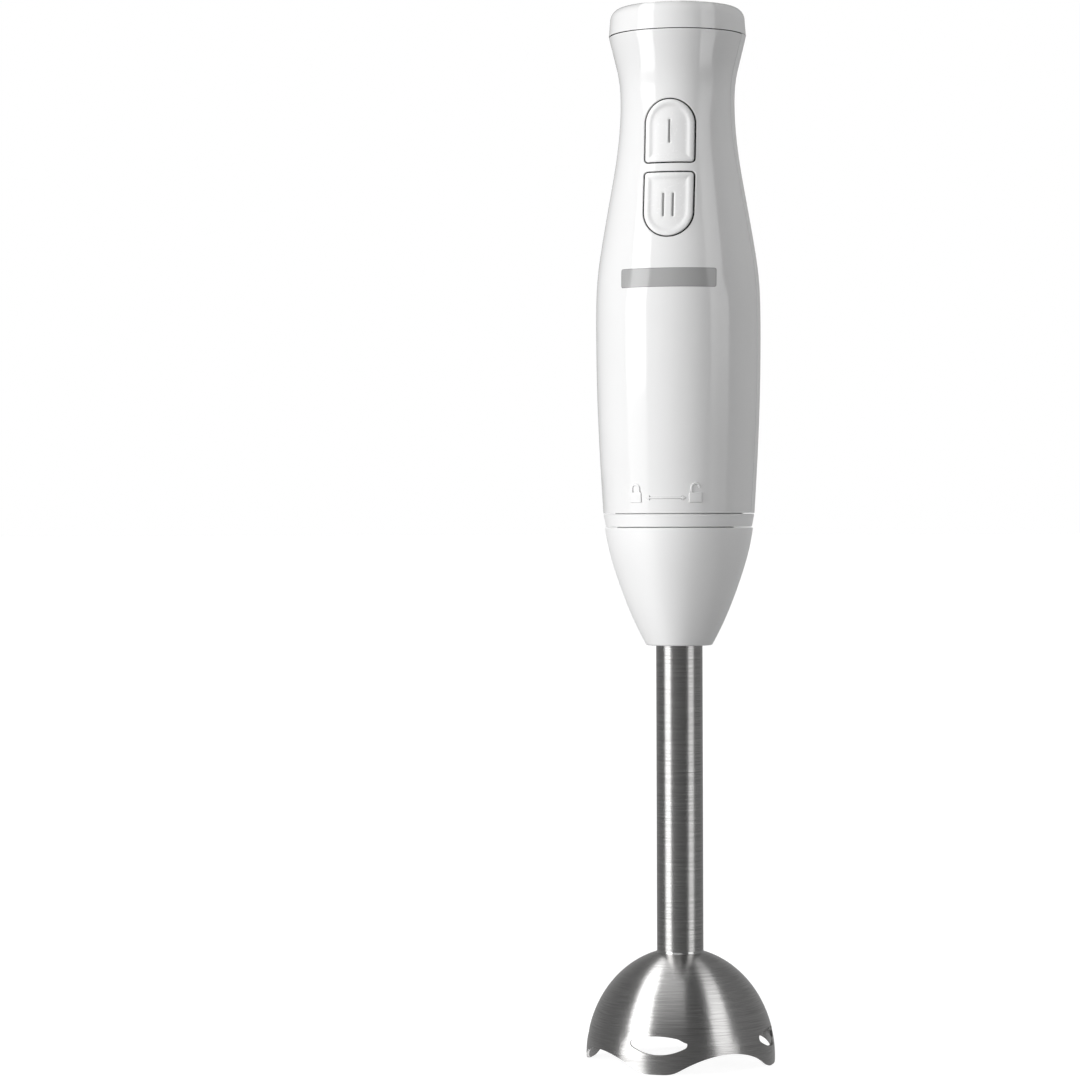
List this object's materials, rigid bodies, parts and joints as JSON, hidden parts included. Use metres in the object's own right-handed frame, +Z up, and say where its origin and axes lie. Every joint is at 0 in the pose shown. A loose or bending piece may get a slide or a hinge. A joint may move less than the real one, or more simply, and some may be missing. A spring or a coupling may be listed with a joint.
{
  "type": "immersion blender",
  "caption": "Hand-held immersion blender with a two-speed motor unit that twists off a steel shaft with a slotted bell and a spinning blade.",
  "frame": {"origin": "on the axis, in the plane that the bell's four lobes stand on", "axes": "+Z up the axis towards the cap, -Y towards the front where the buttons are, +X to the right seen from the front"},
  "size_m": [0.067, 0.067, 0.3733],
  "materials": {
    "handle_plastic": "polished moulded plastic",
    "collar_plastic": "polished moulded plastic",
    "button_plastic": "satin moulded plastic",
    "nameplate_grey": "printed grey",
    "brushed_steel": "brushed round the axis",
    "blade_steel": "ground",
    "shaft_steel": "ground bar",
    "bayonet_plastic": "moulded",
    "coupler_plastic": "glass-filled nylon",
    "rubber_dark": "moulded rubber",
    "bush_bronze": "sintered bronze",
    "zinc_screws": "zinc plated",
    "clamp_plastic": "nylon",
    "board_laminate": "solder mask",
    "switch_plastic": "moulded",
    "plunger_plastic": "moulded",
    "capacitor_plastic": "potted box",
    "ferrite": "wound ferrite",
    "bracket_plastic": "glass-filled nylon",
    "bearing_steel": "ground",
    "lamination": "stacked sheet",
    "copper": "enamelled copper",
    "brush_brass": "pressed brass",
    "carbon": "pressed carbon"
  },
  "bodies": {
    "foot": {"foot_cone": "collar_plastic", "bayonet_neck": "bayonet_plastic", "neck_seal": "rubber_dark", "shaft_tube": "brushed_steel", "bell_guard": "brushed_steel", "upper_bush": "bush_bronze", "lower_bush": "bush_bronze", "shaft_seal": "rubber_dark"},
    "lock_collar": {"lock_collar": "collar_plastic"},
    "motor_unit": {"front_housing": "handle_plastic", "rear_housing": "handle_plastic", "nameplate": "nameplate_grey", "top_cap": "handle_plastic", "cord_gland": "rubber_dark", "cord_clamp": "clamp_plastic", "clamp_screws": "zinc_screws", "control_board": "board_laminate", "board_screws": "zinc_screws", "switch_high": "switch_plastic", "switch_low": "switch_plastic", "suppression_capacitor": "capacitor_plastic", "choke_coils": "ferrite", "speed_diode": "switch_plastic", "cord_terminals": "clamp_plastic", "lower_bracket": "bracket_plastic", "upper_bracket": "bracket_plastic", "lower_bearing": "bearing_steel", "upper_bearing": "bearing_steel", "motor_mount": "rubber_dark", "motor_screws": "zinc_screws", "stator_core": "lamination", "field_coils": "copper", "carbon_brushes": "carbon", "brush_holders": "brush_brass", "brush_springs": "brush_brass", "bayonet_socket": "bayonet_plastic"},
    "armature": {"motor_shaft": "shaft_steel", "armature_core": "lamination", "armature_windings": "copper", "commutator": "copper", "motor_coupler": "coupler_plastic"},
    "blade_drive": {"drive_shaft": "shaft_steel", "foot_coupler": "coupler_plastic", "blade_hub": "blade_steel", "blade": "blade_steel", "blade_nut": "blade_steel"},
    "button_high": {"button_high": "button_plastic", "switch_plunger_high": "plunger_plastic"},
    "button_low": {"button_low": "button_plastic", "switch_plunger_low": "plunger_plastic"}
  },
  "joints": [
    {"name": "motor_unit_lift", "type": "slide", "parent": "foot", "child": "lock_collar", "axis": [0, 0, 1], "range_m": [0, 0.06]},
    {"name": "bayonet_twist", "type": "hinge", "parent": "lock_collar", "child": "motor_unit", "pos_m": [0, 0, 0.2], "axis": [0, 0, 1], "range_deg": [0, 45]},
    {"name": "motor_spin", "type": "hinge", "parent": "motor_unit", "child": "armature", "pos_m": [0, 0, 0.24], "axis": [0, 0, 1], "continuous": true},
    {"name": "blade_spin", "type": "hinge", "parent": "foot", "child": "blade_drive", "pos_m": [0, 0, 0.1], "axis": [0, 0, 1], "continuous": true},
    {"name": "button_high_press", "type": "slide", "parent": "motor_unit", "child": "button_high", "axis": [0, 1, 0], "range_m": [0, 0.0025], "stiffness_N_per_m": 600},
    {"name": "button_low_press", "type": "slide", "parent": "motor_unit", "child": "button_low", "axis": [0, 1, 0], "range_m": [0, 0.0025], "stiffness_N_per_m": 600}
  ],
  "couplings": [
    {"joint": "blade_spin", "follows": "motor_spin", "ratio": 1}
  ]
}
